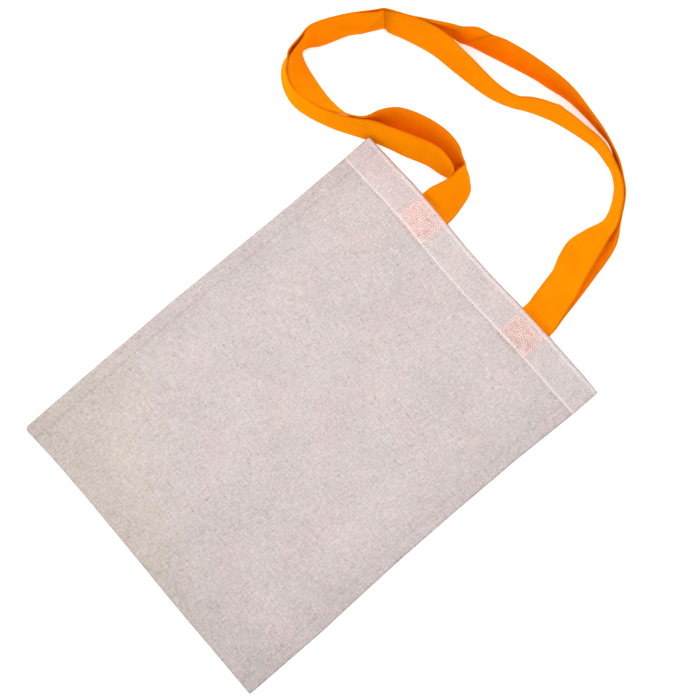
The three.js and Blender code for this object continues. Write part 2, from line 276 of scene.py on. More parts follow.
def length(description, default):
    """A size that a user may change, in metres."""
    return number(description, default, unit="LENGTH", precision=4)


def colour(description, default):
    """A linear colour that a user may change."""
    kind = {"subtype": "COLOR", "size": 3, "min": 0, "max": 1}
    return FloatVectorProperty(description=description, default=default, **kind)


class ToteBagSizes(bpy.types.PropertyGroup):
    """Sizes of the sewn body"""

    cloth: length("Thickness of one layer", 1.0 * MM)
    hem_depth: length("From the mouth's edge to the hem's stitch line", 28 * MM)
    hem_turn: length("From the stitch line to the cut edge inside the hem", 1.5 * MM)
    allowance: length("Width of the cloth folded inside along each side", 13 * MM)
    seam: length("Sewn width along each side", 3.0 * MM)
    fold: length("Solid width along the folded bottom", 1.5 * MM)
    side_gap: length("Space between the panels beside the seams", 0.4 * MM)
    full_gap: length("Space between the panels in the middle", 6.5 * MM)
    full_from: length("Distance from the fold at which the bag is full", 75 * MM)
    hem_press: length("How much flatter the mouth lies than the body", 1.1 * MM)
    back_lead: length("How far the back's edge lies beyond the front's", 1.2 * MM)
    edge_round: length("Radius of the sides and of the fold", 2.2 * MM)


class ToteStrapSizes(bpy.types.PropertyGroup):
    """Sizes of the straps"""

    width: length("Width of a strap", 34 * MM)
    thick: length("Thickness of a strap", 1.5 * MM)
    camber: length("How far the middle of a strap bulges", 0.35 * MM)
    cut_length: length("Length of a strap with both sewn ends", 800 * MM)


class ToteStitchSizes(bpy.types.PropertyGroup):
    """Sizes of the sewing"""

    hem_thread: length("Width of the hem's double thread", 1.35 * MM)
    box_thread: length("Diameter of the thread of the crossed boxes", 1.05 * MM)
    hem_pitch: length("Length of one stitch of the hem", 3.1 * MM)
    box_pitch: length("Length of one stitch of a crossed box", 2.5 * MM)
    box_rows: length("Distance between the two rows of a crossed box", 1.7 * MM)
    box_width: length("Width of a crossed box", 31 * MM)
    box_height: length("Height of a crossed box", 21.5 * MM)
    groove: length("How deep the stitches pull into the cloth", 0.35 * MM)


class ToteColours(bpy.types.PropertyGroup):
    """Colours of the cloths and the thread"""

    ecru: colour("Unbleached cotton of the body", (0.528, 0.478, 0.468))
    blush: colour("Pinker patches of the body's cotton", (0.590, 0.467, 0.462))
    sand: colour("Yellower corner of the body's cotton", (0.530, 0.462, 0.412))
    fleck: colour("Seed flecks in the body's cloth", (0.20, 0.16, 0.15))
    peach: colour("Body's cloth with a strap end behind it", (0.66, 0.45, 0.41))
    orange: colour("Dyed cotton of the straps", (0.86, 0.236, 0.001))
    hem_thread: colour("Unbleached thread of the hem", (0.79, 0.732, 0.722))
    box_thread: colour("White thread of the crossed boxes", (0.85, 0.775, 0.75))
    floor: colour("Plain pale floor", (0.93, 0.93, 0.93))


class ToteStage(bpy.types.PropertyGroup):
    """Camera and light"""

    camera_height: length("Height of the camera above the floor", 2.4)
    seen_width: length("Width of the floor that the picture shows", 612.5 * MM)
    turn: number("Turn of the picture about the vertical", math.radians(48.9), subtype="ANGLE")
    sky: number("Strength of the even light from all round", 1.13)
    key: number("Power of the large soft lamp", 13.0, unit="POWER")
    glow: number("Light that the floor gives off by itself", 0.42)


class ToteSettings(bpy.types.PropertyGroup):
    """Everything that a user may change"""

    bag: PointerProperty(type=ToteBagSizes)
    straps: PointerProperty(type=ToteStrapSizes)
    stitches: PointerProperty(type=ToteStitchSizes)
    colours: PointerProperty(type=ToteColours)
    stage: PointerProperty(type=ToteStage)


# Shader maths


def fill_inputs(node, inputs):
    """Gives a node's inputs their values, or their links where a value is a shade."""
    for key, value in inputs.items():
        if isinstance(value, Shade):
            value.tree.links.new(value.socket, node.inputs[key])
        else:
            node.inputs[key].default_value = value


class Shade:
    """A socket in a material's nodes. Arithmetic on it adds Math nodes, and node adds any other kind."""

    def __init__(self, tree, socket=None):
        self.tree = tree
        self.socket = socket

    def node(self, kind, settings=None, inputs=None, output=0):
        """A new node's output: the settings are set first, then the inputs get their values or links."""
        new = self.tree.nodes.new(kind)
        for name, value in (settings or {}).items():
            setattr(new, name, value)
        fill_inputs(new, inputs or {})
        return Shade(self.tree, new.outputs[output])

    def other(self, output):
        """Another output of the same node."""
        return Shade(self.tree, self.socket.node.outputs[output])

    def maths(self, operation, second=0.0):
        """A Math node with this value first."""
        return self.node("ShaderNodeMath", {"operation": operation}, {0: self, 1: second})

    def maths_after(self, operation, first):
        """A Math node with this value second."""
        return self.node("ShaderNodeMath", {"operation": operation}, {0: first, 1: self})

    __add__ = partialmethod(maths, "ADD")
    __radd__ = partialmethod(maths_after, "ADD")
    __sub__ = partialmethod(maths, "SUBTRACT")
    __rsub__ = partialmethod(maths_after, "SUBTRACT")
    __mul__ = partialmethod(maths, "MULTIPLY")
    __rmul__ = partialmethod(maths_after, "MULTIPLY")
    __truediv__ = partialmethod(maths, "DIVIDE")
    __mod__ = partialmethod(maths, "FLOORED_MODULO")
    __abs__ = partialmethod(maths, "ABSOLUTE")
    floor = partialmethod(maths, "FLOOR")
    cosine = partialmethod(maths, "COSINE")

    def ramp(self, low, high):
        """0 below low, 1 above high and a smooth step between; low may be the higher one."""
        limits = {"Value": self, "From Min": low, "From Max": high}
        return self.node("ShaderNodeMapRange", {"interpolation_type": "SMOOTHSTEP"}, limits)

    def dim(self, amount):
        """This colour, made brighter or darker by a value."""
        return self.node("ShaderNodeVectorMath", {"operation": "SCALE"}, {0: self, "Scale": amount})

    def blend(self, amount, first, second):
        """A colour between two others."""
        return self.node("ShaderNodeMix", {"data_type": "RGBA"}, {0: amount, 6: first, 7: second}, 2)

    def even(self, rgb):
        """One colour all over."""
        shade = self.node("ShaderNodeRGB")
        shade.socket.default_value = opaque(rgb)
        return shade

    def bump(self, strength, distance):
        """A normal that follows this value as a height."""
        inputs = {"Strength": strength, "Distance": distance, "Height": self}
        return self.node("ShaderNodeBump", None, inputs)


def new_material(name):
    """A material with a Principled surface, and the start of its shader maths."""
    material = bpy.data.materials.new(name)
    material.use_nodes = True
    surface = material.node_tree.nodes["Principled BSDF"]
    return material, surface, Shade(material.node_tree)


def opaque(rgb):
    """A colour for a node's socket."""
    return (*rgb, 1.0)


def place_on_cloth(start):
    """Place on the cut cloth in metres: along the weft and along the warp."""
    place = start.node("ShaderNodeUVMap", {"uv_map": CLOTH_MAP})
    weft = start.node("ShaderNodeSeparateXYZ", None, {0: place})
    return weft, weft.other("Y")


def joined(u, v):
    """A place for a texture, from its two parts."""
    return u.node("ShaderNodeCombineXYZ", None, {"X": u, "Y": v})


def plain_weave(u, v, pitch):
    """Height of a plain weave: 1 on top of a thread and 0 in the holes between."""
    warp = u / pitch
    weft = v / pitch
    warp_side = ((warp % 1.0 - 0.5) * math.pi).cosine()
    weft_side = ((weft % 1.0 - 0.5) * math.pi).cosine()
    weft_over = (warp.floor() + weft.floor()) % 2.0
    warp_height = warp_side * (0.55 + 0.45 * weft_side)
    weft_height = weft_side * (0.55 + 0.45 * warp_side)
    return warp_height * (1.0 - weft_over) + weft_height * weft_over


def cloud(u, v, u_size, v_size, detail=1.0):
    """Soft noise about 0, with grains of the given size each way."""
    inputs = {"Vector": joined(u / u_size, v / v_size), "Scale": 1.0, "Detail": detail}
    return u.node("ShaderNodeTexNoise", {"noise_dimensions": "2D"}, inputs) - 0.5


def yarn_tones(u, v, pitch):
    """Even noise about 0 that has its own value at every crossing of the yarns."""
    inputs = {"Vector": joined((u / pitch).floor(), (v / pitch).floor())}
    return u.node("ShaderNodeTexWhiteNoise", {"noise_dimensions": "2D"}, inputs) - 0.5


def seed_flecks(u, v, u_size, v_size, reach, kept):
    """Scattered marks: 1 in the middle of a kept share of the cells of the given size."""
    inputs = {"Vector": joined(u / u_size, v / v_size), "Scale": 1.0}
    distance = u.node("ShaderNodeTexVoronoi", {"voronoi_dimensions": "2D"}, inputs)
    chosen = u.node("ShaderNodeSeparateColor", None, {0: distance.other("Color")})
    return distance.ramp(reach, 0.3 * reach) * chosen.ramp(1.0 - kept, 1.0 - 0.5 * kept)


def turned(across, up, angle):
    """Place along and across something that lies turned by an angle."""
    return across * math.cos(angle) + up * math.sin(angle), up * math.cos(angle) - across * math.sin(angle)


def strap_patches(u, v, bag, stitches):
    """Where strap ends are sewn behind the cloth, less above their boxes; and the shade below and beside."""
    half_width, half_height = stitches.box_width / 2, stitches.box_height / 2
    level = BAG_HEIGHT - bag.hem_depth + half_height
    soft = 0.9 * MM
    margin = 1.2 * MM
    ragged = 4 * MM * cloud(u, v, 3 * MM, 3 * MM)
    patch, shade = 0.0, 0.0
    for end in STRAP_ENDS.values():
        across, up = turned(u - (end.middle - MOUTH_MIDDLE), abs(v) - level, end.turn)
        wide = (abs(across) + ragged).ramp(half_width + margin + soft, half_width + margin - soft)
        high = (abs(up) + ragged).ramp(half_height + margin + soft, half_height + margin - soft)
        above = up.ramp(half_height - soft, half_height + soft)
        past_bottom = -half_height - up
        below = past_bottom.ramp(-soft, soft) * past_bottom.ramp(7 * MM, soft)
        past_side = across - half_width
        beside = past_side.ramp(-soft, soft) * past_side.ramp(4 * MM, soft)
        patch = patch + wide * (high + 0.4 * above)
        shade = shade + wide * below + high * beside
    return patch, shade


def ecru_cotton(settings):
    """Unbleached cotton: coarse plain weave, uneven yarns, seed flecks, paler hem and peach strap ends."""
    colours = settings.colours
    bag = settings.bag
    pitch = 0.95 * MM
    material, surface, start = new_material("ecru_cotton")
    u, v = place_on_cloth(start)
    from_middle, from_fold = abs(u), abs(v)
    half_width = BAG_WIDTH / 2
    # Yarns, patches and flecks of the cloth
    weave = plain_weave(u, v, pitch)
    slubs = cloud(u, v, 13 * MM, pitch) + cloud(u, v, pitch, 11 * MM)
    yarns = yarn_tones(u, v, pitch)
    grain = cloud(u, v, 2.4 * MM, 2.4 * MM)
    patchy = cloud(u, v, 45 * MM, 45 * MM, 2.0)
    pink = 0.28 + 0.75 * cloud(u, v, 34 * MM, 34 * MM, 2.0)
    blotch = cloud(u, v, 14 * MM, 14 * MM, 2.0)
    sandy = (from_fold / (100 * MM) + (u + half_width) / (170 * MM) + 1.5 * blotch).ramp(1.5, 0.9)
    dots = seed_flecks(u, v, 10 * MM, 10 * MM, 0.09, 0.10)
    streaks = seed_flecks(u, v, 30 * MM, 8 * MM, 0.08, 0.16) + seed_flecks(u, v, 8 * MM, 30 * MM, 0.08, 0.13)
    # Where the cloth is doubled or turned over, and where shade and highlights are painted on it
    hem_line = BAG_HEIGHT - bag.hem_depth
    hem = from_fold.ramp(hem_line - 1 * MM, hem_line + 1 * MM)
    # Painted reflection: the hem grows lighter and pinker towards the mouth's left corner, as if lit by the
    # orange strap
    corner = hem * u.ramp(-50 * MM, -130 * MM)
    # Painted shade in a band just below the hem's step
    painted_shade_under_hem = hem.ramp(0.5, 0.0) * from_fold.ramp(hem_line - 6 * MM, hem_line)
    # Painted highlight along the rounded edge of the mouth
    rim = abs(v - (BAG_HEIGHT - 2.6 * MM)).ramp(1.8 * MM, 0.4 * MM)
    seam_glow = abs(from_fold - hem_line).ramp(2.6 * MM, 0.6 * MM)
    # Painted shade along the back panel's edge where it shows beyond the front at the mouth
    painted_shade_back_lip = (0.0 - v).ramp(BAG_HEIGHT - 4 * MM, BAG_HEIGHT - 2 * MM)
    # Painted shade along the right side, which faces away from the lamp
    painted_shade_right_side = u.ramp(half_width - 3.2 * MM, half_width - 1.0 * MM)
    # Painted shade over the lower right of the body
    painted_shade_lower_right = from_fold.ramp(170 * MM, 50 * MM) * u.ramp(-60 * MM, 80 * MM)
    # Painted shade: darker towards both sides and the fold, where the full cloth curves away from the light
    painted_shade_band = from_middle.ramp(100 * MM, half_width) + from_fold.ramp(60 * MM, 0.0)
    # Painted shadow along the edge of each seam allowance inside
    allowance = abs(from_middle - (half_width - bag.allowance)).ramp(2.0 * MM, 0.4 * MM)
    # Painted shade on the rounded sides and fold
    edges = from_middle.ramp(half_width - 1.6 * MM, half_width) + from_fold.ramp(1.6 * MM, 0.0)
    patch, shade = strap_patches(u, v, bag, settings.stitches)
    specks = seed_flecks(u, v, 2.0 * MM, 2.0 * MM, 0.5, 0.6)
    holes = seed_flecks(u, v, 2.3 * MM, 2.3 * MM, 0.28, 0.5)
    # How bright it is, then its colour
    tone = 1.0 + 0.3 * slubs + 0.24 * yarns + 0.2 * grain + 0.14 * patchy + 0.10 * (weave - 0.6)
    tone = tone + 0.03 * hem + 0.05 * corner + 0.2 * rim - 0.25 * painted_shade_back_lip - 0.07 * painted_shade_band - 0.1 * painted_shade_under_hem
    tone = tone + 0.15 * seam_glow - 0.06 * allowance - 0.12 * edges
    tone = tone - 0.08 * painted_shade_right_side - 0.055 * painted_shade_lower_right
    tone = tone + patch * (0.22 * specks - 0.45 * holes - 0.07 * u.ramp(0.0, 40 * MM)) - 0.07 * shade
    cloth = start.blend(pink + 0.35 * corner, opaque(colours.ecru), opaque(colours.blush))
    cloth = start.blend(0.8 * sandy, cloth, opaque(colours.sand))
    cloth = start.blend(0.9 * patch + 0.25 * shade, cloth, opaque(colours.peach))
    flecks = 0.62 * (dots + streaks)
    height = weave * (0.8 + 0.9 * slubs) + 0.3 * grain
    inputs = {
        "Base Color": start.blend(flecks, cloth.dim(tone), opaque(colours.fleck)),
        "Roughness": 0.93 + 0.12 * grain - 0.06 * weave,
        "Normal": height.bump(0.55, 0.25 * MM),
        "Specular IOR Level": 0.1,
    }
    fill_inputs(surface, inputs)
    return material


def crease_marks(u, v, lines, width):
    """How dark the painted shade at the creases is: a line along each, and the shade of the cloth past it.
    """
    soft = 0.7 * MM
    total = 0.0
    for at_right, at_left, crease in lines:
        past = v - (at_right + u * ((at_left - at_right) / width))
        # Painted shade: a dark line along the crease, and shade on the cloth past it that fades
        painted_shade_band = crease.mark * abs(past).ramp(1.4 * MM, 0.2 * MM)
        shaded = crease.shade * past.ramp(-soft, soft) * past.ramp(crease.fade, 0.0)
        total = total + painted_shade_band + shaded
    return total


def orange_cotton(settings, crease_lines):
    """Dyed cotton of the straps: a closer weave, uneven dye, darker edges and painted shade along the
    creases.
    """
    pitch = 0.6 * MM
    half_width = settings.straps.width / 2
    material, surface, start = new_material("orange_cotton")
    u, v = place_on_cloth(start)
    weave = plain_weave(u, v, pitch)
    slubs = cloud(u, v, 7 * MM, pitch) + cloud(u, v, pitch, 12 * MM)
    grain = cloud(u, v, 1.1 * MM, 1.1 * MM, 2.0)
    patchy = cloud(u, v, 18 * MM, 26 * MM, 2.0)
    # Darker along both edges of the strap
    darker_edges = abs(u - half_width).ramp(half_width - 1.3 * MM, half_width - 0.3 * MM)
    # Painted shade along the creases
    marks = crease_marks(u, v, crease_lines, settings.straps.width)
    tone = 1.0 + 0.12 * slubs + 0.18 * grain + 0.22 * patchy + 0.08 * (weave - 0.6) - 0.25 * darker_edges - marks
    height = weave * (0.8 + 0.6 * slubs) + 0.5 * grain
    inputs = {
        "Base Color": start.even(settings.colours.orange).dim(tone),
        "Roughness": 0.90 + 0.10 * grain - 0.06 * weave,
        "Normal": height.bump(0.5, 0.15 * MM),
        "Specular IOR Level": 0.0,
        "Subsurface Weight": 0.4,
        "Subsurface Radius": (1.0, 0.3, 0.05),
        "Subsurface Scale": 2.5 * MM,
    }
    fill_inputs(surface, inputs)
    return material


def sewing_thread(name, shade):
    """Twisted cotton thread."""
    material, surface, start = new_material(name)
    u, v = place_on_cloth(start)
    twist_pitch = 0.5 * MM
    twist = ((u + v) * (2 * math.pi / twist_pitch)).cosine()
    fuzz = cloud(u, v, 0.4 * MM, 0.4 * MM)
    inputs = {
        "Base Color": start.even(shade).dim(1.0 + 0.05 * twist + 0.15 * fuzz),
        "Roughness": 0.75 + 0.1 * fuzz,
        "Normal": twist.bump(0.4, 0.05 * MM),
    }
    fill_inputs(surface, inputs)
    return material


def pale_floor(settings):
    """Even matt white of the stage."""
    material, surface, _ = new_material("pale_floor")
    white = opaque(settings.colours.floor)
    inputs = {
        "Base Color": white,
        "Emission Color": white,
        "Emission Strength": settings.stage.glow,
        "Roughness": 1.0,
        "Specular IOR Level": 0.0,
    }
    fill_inputs(surface, inputs)
    return material


# Shape maths


def smooth(value, low, high):
    """0 below low, 1 above high and a smooth step between."""
    share = np.clip((value - low) / (high - low), 0, 1)
    return share * share * (3 - 2 * share)


def line_bump(distance, width):
    """1 on a line, fading to 0 about two widths away."""
    return np.exp(-((distance / width) ** 2))


def rounded(distance, radius):
    """Share of the full height at a distance from a rounded edge."""
    short = 1 - np.clip(distance / radius, 0, 1)
    return np.sqrt(1 - short * short)


def full_across(across, power):
    """1 along the middle and 0 at both sides; a higher power keeps it full nearer to the sides."""
    return 1 - np.abs(2 * across - 1) ** power


def uneven(x, y, wavelength, seed, waves=24):
    """Soft unevenness about 0 with a spread of about 1, from waves in all directions."""
    draw = np.random.default_rng(seed)
    total = np.zeros_like(x)
    for heading, stretch, phase in draw.random((waves, 3)):
        pace = 2 * math.pi / (wavelength * (0.6 + 0.9 * stretch))
        angle = 2 * math.pi * heading
        total += np.sin(pace * (x * math.cos(angle) + y * math.sin(angle)) + 2 * math.pi * phase)
    return total / math.sqrt(waves / 2)


def look_up(rows, column, at):
    """Value of a table's column at places between its rows, which its first column gives."""
    return np.interp(at, [row[0] for row in rows], [getattr(row, column) for row in rows])


def stations(start, *stretches):
    """Places from start on, by stretches of (end, longest step)."""
    places = [start]
    for end, step in stretches:
        count = max(1, math.ceil((end - places[-1]) / step))
        places += np.linspace(places[-1], end, count + 1)[1:].tolist()
    return np.array(places)


def smooth_run(points, steps):
    """Centripetal Catmull-Rom curve through the points, with the given number of steps to each stretch."""
    ends = np.vstack([2 * points[0] - points[1], points, 2 * points[-1] - points[-2]])
    chords = np.sqrt(np.linalg.norm(np.diff(ends, axis=0), axis=1))
    share = (np.arange(steps) / steps)[:, None]
    run = []
    for k in range(len(points) - 1):
        before, start, end, after = ends[k : k + 4]
        first, middle, last = chords[k : k + 3]
        leave = (start - before) / first - (end - before) / (first + middle) + (end - start) / middle
        arrive = (end - start) / middle - (after - start) / (middle + last) + (after - end) / last
        leave, arrive = leave * middle, arrive * middle
        bend = 3 * (end - start) - 2 * leave - arrive
        swing = 2 * (start - end) + leave + arrive
        run.append(start + share * (leave + share * (bend + share * swing)))
    return np.vstack([*run, points[-1:]])


def on_bake_map(patch, across, along):
    """Places on the map to bake, from shares across and along a patch of it."""
    return np.stack([patch.left + patch.width * across, patch.bottom + patch.height * along], -1)


class ClothMesh:
    """Grids of points with their places on both maps, welded into one closed mesh."""

    def __init__(self):
        self.points = []
        self.cloth = []
        self.bake = []
        self.faces = []
        self.count = 0

    def add(self, points, cloth, bake):
        """One grid: points by row and column, and their places on the cloth and on the map to bake."""
        rows, columns = points.shape[:2]
        index = self.count + np.arange(rows * columns).reshape(rows, columns)
        corners = [index[:-1, :-1], index[:-1, 1:], index[1:, 1:], index[1:, :-1]]
        self.faces.append(np.stack(corners, -1).reshape(-1, 4))
        self.points.append(points.reshape(-1, 3))
        self.cloth.append(cloth.reshape(-1, 2))
        self.bake.append(bake.reshape(-1, 2))
        self.count += rows * columns

    def build(self, name, material):
        """The finished piece with both its maps."""
        faces = np.concatenate(self.faces)
        mesh = bpy.data.meshes.new(name)
        mesh.from_pydata(np.concatenate(self.points).tolist(), [], faces.tolist())
        for map_name, places in ((CLOTH_MAP, self.cloth), (BAKE_MAP, self.bake)):
            layer = mesh.uv_layers.new(name=map_name)
            layer.uv.foreach_set("vector", np.concatenate(places)[faces].astype(np.float32).ravel())
        close_mesh(mesh)
        return add_piece(name, mesh, material)


def close_mesh(mesh):
    """Welds the grids' shared borders, fills open ends and turns all faces outwards."""
    weld_distance = 0.002 * MM
    work = bmesh.new()
    work.from_mesh(mesh)
    bmesh.ops.remove_doubles(work, verts=work.verts, dist=weld_distance)
    bmesh.ops.holes_fill(work, edges=[edge for edge in work.edges if edge.is_boundary])
    bmesh.ops.recalc_face_normals(work, faces=work.faces)
    work.to_mesh(mesh)
    work.free()


def add_piece(name, mesh, material):
    """An object of the scene, smoothly shaded."""
    mesh.materials.append(material)
    mesh.shade_smooth()
    piece = bpy.data.objects.new(name, mesh)
    bpy.context.scene.collection.objects.link(piece)
    return piece


# Body of the bag


class Pouch:
    """Where the cloth of the body lies, by its share across and its distance along from the fold."""

    def __init__(self, settings):
        self.bag = settings.bag
        self.stitches = settings.stitches
        self.stitch_line = BAG_HEIGHT - settings.bag.hem_depth

    def edges(self, along):
        """Places of the left and the right side in plan."""
        share = (along / BAG_HEIGHT)[..., None]
        left = BOTTOM_LEFT + (MOUTH_LEFT - BOTTOM_LEFT) * share
        right = BOTTOM_RIGHT + (MOUTH_RIGHT - BOTTOM_RIGHT) * share
        left[..., 0] -= look_up(SIDE_BOWS, "left", along / MM) * MM
        right[..., 0] += look_up(SIDE_BOWS, "right", along / MM) * MM
        return left, right

    def plan(self, across, along):
        """Place in plan, with the edges bowed as they lie and the corners at the fold rounded."""
        share = along / BAG_HEIGHT
        left, right = self.edges(along)
        place = left + (right - left) * across[..., None]
        fold = look_up(END_BOWS, "fold", across)
        mouth = look_up(END_BOWS, "mouth", across)
        place[..., 1] += (fold + (mouth - fold) * share) * MM
        sides = (
            (across * BAG_WIDTH, CORNER_ROUND_LEFT, 1),
            ((1 - across) * BAG_WIDTH, CORNER_ROUND_RIGHT, -1),
        )
        for from_side, radius, inwards in sides:
            near_side = 1 - np.clip(from_side / radius, 0, 1)
            near_fold = 1 - np.clip(along / radius, 0, 1)
            reach = np.maximum(np.hypot(near_side, near_fold), 1e-9)
            cut = radius * (1 - np.maximum(near_side, near_fold) / reach)
            place[..., 0] += inwards * near_side * cut
            place[..., 1] += near_fold * cut
        return place

    def corner_lift(self, place):
        """Height that the strap under the mouth's left corner adds to the cloth there."""
        away = np.linalg.norm(place - MOUTH_LEFT, axis=-1)
        return CORNER_LIFT * np.clip(1 - away / CORNER_REACH, 0, 1) ** 2

    def across_at(self, x, along):
        """Share across of a place along the mouth's direction."""
        left, right = (edge[..., 0] for edge in self.edges(along))
        return (x - left) / (right - left)

    def from_side(self, across):
        return BAG_WIDTH * np.minimum(across, 1 - across)

    def hem_share(self, along):
        """0 on the single cloth and 1 where the turned hem doubles it: a sharp edge, then a soft rise."""
        edge = self.stitch_line - self.bag.hem_turn
        sharp = smooth(along, edge - 0.4 * MM, edge + 0.8 * MM)
        soft = smooth(along, edge, edge + 14 * MM)
        return 0.5 * sharp + 0.5 * soft

    def gap(self, across, along):
        """Space between the panels."""
        bag = self.bag
        from_fold = np.sin(math.pi / 2 * np.minimum(1, along / bag.full_from))
        full = bag.full_gap - bag.hem_press * self.hem_share(along)
        return bag.side_gap + (full - bag.side_gap) * full_across(across, 4) * from_fold

    def walls(self, along):
        """Thickness of a panel."""
        return self.bag.cloth * (1 + self.hem_share(along))

    def sewing(self, across, along):
        """How far the stitches pull in and the strap ends push out, with puckers beside the hem line."""
        x = self.plan(across, along)[..., 0]
        above = along - self.stitch_line
        size = self.stitches
        thread = 0.9 * MM
        margin, soft, push = 1.5 * MM, 2.5 * MM, 0.8 * MM
        pucker = uneven(x, 0 * x, 8 * MM, 3) * np.exp(-np.abs(above) / (5 * MM))
        shape = 0.10 * MM * pucker - size.groove * line_bump(above, thread)
        slope = size.box_height / size.box_width
        lean = math.hypot(1, slope)
        for end in STRAP_ENDS.values():
            sideways, up = turned(x - end.middle, above - size.box_height / 2, end.turn)
            past_width = np.abs(sideways) - size.box_width / 2
            past_height = np.abs(up) - size.box_height / 2
            inside = smooth(margin - past_width, 0, soft) * smooth(margin - past_height, 0, soft)
            rising = (up - slope * sideways) / lean
            falling = (up + slope * sideways) / lean
            box_line = np.minimum(np.abs(past_width), np.abs(past_height))
            quilting = np.max([line_bump(line, thread) for line in (rising, falling, box_line)], axis=0)
            shape = shape + inside * (push - size.groove * quilting)
        return shape

    def relief(self, across, along):
        """Lie of the front panel: seam allowances inside, sewing, and soft waves that end below the hem."""
        place = self.plan(across, along)
        x, y = place[..., 0], place[..., 1]
        inside = self.from_side(across) - self.bag.allowance
        step, ridge = 0.35 * MM, 0.22 * MM
        allowance = step * (1 - smooth(inside, -1.2 * MM, 1.2 * MM)) + ridge * line_bump(inside, 1.3 * MM)
        waves = 0.32 * MM * uneven(x, y, 120 * MM, 1) + 0.09 * MM * uneven(x, y, 22 * MM, 2)
        loose_until, still_from = BAG_HEIGHT - 90 * MM, BAG_HEIGHT - 35 * MM
        loose = 1 - smooth(along, loose_until, still_from)
        return allowance + waves * loose + self.sewing(across, along)

    def front_full(self, across, along):
        """Height of the front panel's upper face before its edges are rounded."""
        return 2 * self.walls(along) + self.gap(across, along) + self.relief(across, along)

    def lead(self, side, across, along):
        """How far the back panel runs beyond the front at the mouth, nothing at the seams."""
        if side == "front":
            return 0 * along
        near_mouth = smooth(along, BAG_HEIGHT - 25 * MM, BAG_HEIGHT)
        return self.bag.back_lead * near_mouth * full_across(across, 12)

    def lifted(self, place, height):
        """Points of the cloth, higher where the strap lies under the mouth's corner."""
        height = height + self.corner_lift(place)
        return np.concatenate([place, height[..., None]], -1)

    def outside(self, side, across, along):
        """A point of the outer face of the front or the back panel."""
        edge = rounded(self.from_side(across), self.bag.edge_round) * rounded(along, self.bag.edge_round)
        seam_height = self.walls(along) + self.bag.side_gap / 2
        if side == "front":
            height = seam_height + (self.front_full(across, along) - seam_height) * edge
        else:
            height = seam_height * (1 - edge) - np.minimum(0, self.sewing(across, along)) * edge
        return self.lifted(self.plan(across, along + self.lead(side, across, along)), height)

    def inside(self, side, across, along):
        """A point of the inner face, across counted between the seams."""
        bag = self.bag
        round_inside, least_gap = 1.5 * MM, 0.05 * MM
        inset = bag.seam / BAG_WIDTH
        shifted = inset + (1 - 2 * inset) * across
        edge = rounded(self.from_side(across), round_inside) * rounded(along - bag.fold, round_inside)
        walls = self.walls(along)
        upper = np.maximum(self.front_full(shifted, along) - walls, walls + least_gap)
        middle = (upper + walls) / 2
        wanted = upper if side == "front" else walls
        height = middle + (wanted - middle) * edge
        return self.lifted(self.plan(shifted, along + self.lead(side, across, along)), height)


def bag_columns(stitches):
    """Shares across the panels: finer along the sides, the allowances and the crossed boxes."""
    fine, medium, wide, coarse = 0.45 * MM, 0.9 * MM, 2 * MM, 2.8 * MM
    edge, ridge_start, ridge_end = 3 * MM, 11 * MM, 15.5 * MM
    box = stitches.box_width / 2 + 3 * MM
    left_box, right_box = (end.middle - MOUTH_LEFT[0] for end in STRAP_ENDS.values())
    places = stations(
        0,
        (edge, fine),
        (ridge_start, wide),
        (ridge_end, medium),
        (left_box - box, coarse),
        (left_box + box, medium),
        (right_box - box, coarse),
        (right_box + box, medium),
        (BAG_WIDTH - ridge_end, coarse),
        (BAG_WIDTH - ridge_start, medium),
        (BAG_WIDTH - edge, wide),
        (BAG_WIDTH, fine),
    )
    return places / BAG_WIDTH


def sew_body(settings):
    """The pouch: each panel runs up its outside, over the rounded mouth and down its inside."""
    pouch = Pouch(settings)
    rim = settings.bag.cloth
    top = BAG_HEIGHT - rim
    line = pouch.stitch_line
    columns = bag_columns(settings.stitches)
    outer_rows = stations(
        0,
        (3 * MM, 0.45 * MM),
        (12 * MM, 2 * MM),
        (line - 5 * MM, 3.2 * MM),
        (line + 2 * MM, 0.6 * MM),
        (line + 25 * MM, 0.9 * MM),
        (top, 0.9 * MM),
    )
    inner_rows = stations(settings.bag.fold, (5 * MM, 0.9 * MM), (line - 6 * MM, 22 * MM), (top, 3 * MM))
    inner_rows = inner_rows[::-1]
    rim_steps = 8
    bends = np.linspace(0, math.pi, rim_steps + 1)[1:]
    cloth = ClothMesh()
    for side, sign, bake_left in (("front", 1, 0.0), ("back", -1, 0.5)):
        across, along = np.meshgrid(columns, outer_rows)
        outer = pouch.outside(side, across, along)
        inner_across, inner_along = np.meshgrid(columns, inner_rows)
        inner = pouch.inside(side, inner_across, inner_along)
        turn = bends[:, None, None]
        over = (outer[-1] + inner[0]) / 2 + np.cos(turn) * (outer[-1] - inner[0]) / 2
        over[..., 1] += rim * np.sin(turn[..., 0])
        outer = np.concatenate([outer, over])
        rim_along = np.repeat((top + rim * bends)[:, None], len(columns), 1)
        along = np.concatenate([along, rim_along])
        across = np.concatenate([across, across[: len(bends)]])
        faces = (
            (outer, across, along, OUTER_PATCH, along.max()),
            (inner, inner_across, inner_along, INNER_PATCH, BAG_HEIGHT),
        )
        for points, across, along, patch, full in faces:
            place = np.stack([(across - 0.5) * BAG_WIDTH, sign * along], -1)
            cloth.add(points, place, on_bake_map(patch, across, along / full) + [bake_left, 0])
    return cloth.build("bag_cloth", ecru_cotton(settings))


# Straps


